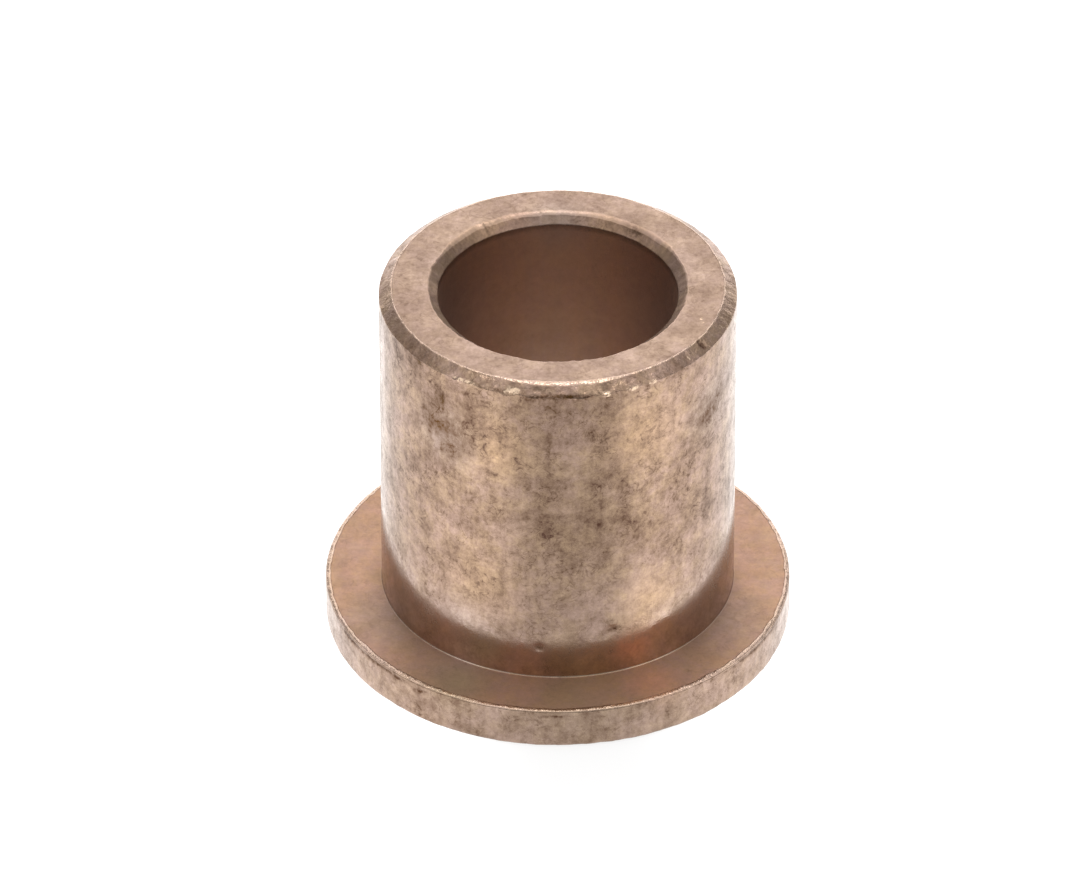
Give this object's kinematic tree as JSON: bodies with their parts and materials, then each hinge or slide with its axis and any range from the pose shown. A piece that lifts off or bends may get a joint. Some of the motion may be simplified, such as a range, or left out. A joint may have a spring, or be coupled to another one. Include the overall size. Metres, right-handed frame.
{
  "type": "flanged sleeve bushing",
  "caption": "Plain sleeve bearing with a thrust flange at one end, pressed into a housing to carry a turning shaft.",
  "frame": {"origin": "on the bore's axis, in the plane of the flange's outer face", "axes": "+Z along the bore's axis, from the flange towards the sleeve's free end; X and Y are free, as the part is round"},
  "size_m": [0.0252, 0.0252, 0.0213],
  "materials": {
    "bronze": "satin"
  },
  "bodies": {
    "root": {"flanged_bushing": "bronze"}
  },
  "joints": []
}
